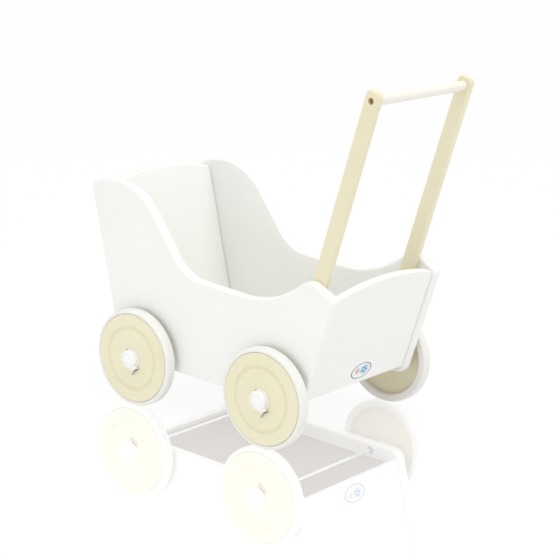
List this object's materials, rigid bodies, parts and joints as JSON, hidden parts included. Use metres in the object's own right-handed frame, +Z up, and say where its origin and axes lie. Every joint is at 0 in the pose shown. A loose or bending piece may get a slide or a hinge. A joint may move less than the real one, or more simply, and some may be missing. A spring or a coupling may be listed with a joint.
{
  "type": "doll stroller",
  "caption": "Wooden doll pram: open panelled tub with arched ends, leaning push handle and disc wheels that spin on two steel axles.",
  "frame": {"origin": "centre of the footprint at floor level", "axes": "+X forwards (head end leads), +Y to the left, +Z up"},
  "size_m": [0.5575, 0.3628, 0.5665],
  "materials": {
    "tub_paint": "satin white paint on board",
    "cream_paint": "satin cream paint on board",
    "grip_paint": "satin ivory paint on a turned bar",
    "hardboard": "raw brown hardboard",
    "dowel_wood": "raw beech",
    "tyre": "soft white tyre, matte",
    "white_plastic": "moulded white plastic",
    "dark_plastic": "dark moulded bush",
    "axle_steel": "bright drawn rod",
    "pin_steel": "dull steel wire",
    "screw_steel": "brown passivated steel",
    "label": "printed oval sticker"
  },
  "bodies": {
    "pram": {"left_side_panel": "tub_paint", "right_side_panel": "tub_paint", "head_panel": "tub_paint", "rear_panel": "tub_paint", "bottom_board": "hardboard", "panel_dowels": "dowel_wood", "left_upright": "cream_paint", "right_upright": "cream_paint", "upright_screws": "screw_steel", "grip_bar": "grip_paint", "grip_screws": "screw_steel", "axle_bushes": "dark_plastic", "rear_label": "label", "front_axle": "axle_steel", "rear_axle": "axle_steel", "front_left_wheel_spacer": "white_plastic", "front_left_hub_washer": "white_plastic", "front_left_hub_cap": "white_plastic", "front_left_split_pin": "pin_steel", "front_right_wheel_spacer": "white_plastic", "front_right_hub_washer": "white_plastic", "front_right_hub_cap": "white_plastic", "front_right_split_pin": "pin_steel", "rear_left_wheel_spacer": "white_plastic", "rear_left_hub_washer": "white_plastic", "rear_left_hub_cap": "white_plastic", "rear_left_split_pin": "pin_steel", "rear_right_wheel_spacer": "white_plastic", "rear_right_hub_washer": "white_plastic", "rear_right_hub_cap": "white_plastic", "rear_right_split_pin": "pin_steel"},
    "front_left_wheel": {"front_left_wheel_disc": "cream_paint", "front_left_tyre": "tyre", "front_left_hub_bush": "white_plastic"},
    "front_right_wheel": {"front_right_wheel_disc": "cream_paint", "front_right_tyre": "tyre", "front_right_hub_bush": "white_plastic"},
    "rear_left_wheel": {"rear_left_wheel_disc": "cream_paint", "rear_left_tyre": "tyre", "rear_left_hub_bush": "white_plastic"},
    "rear_right_wheel": {"rear_right_wheel_disc": "cream_paint", "rear_right_tyre": "tyre", "rear_right_hub_bush": "white_plastic"}
  },
  "joints": [
    {"name": "front_left_wheel_spin", "type": "hinge", "parent": "pram", "child": "front_left_wheel", "pos_m": [0.1539, 0.161, 0.08], "axis": [0, 1, 0], "continuous": true},
    {"name": "front_right_wheel_spin", "type": "hinge", "parent": "pram", "child": "front_right_wheel", "pos_m": [0.1539, -0.161, 0.08], "axis": [0, 1, 0], "continuous": true},
    {"name": "rear_left_wheel_spin", "type": "hinge", "parent": "pram", "child": "rear_left_wheel", "pos_m": [-0.1211, 0.161, 0.08], "axis": [0, 1, 0], "continuous": true},
    {"name": "rear_right_wheel_spin", "type": "hinge", "parent": "pram", "child": "rear_right_wheel", "pos_m": [-0.1211, -0.161, 0.08], "axis": [0, 1, 0], "continuous": true}
  ]
}
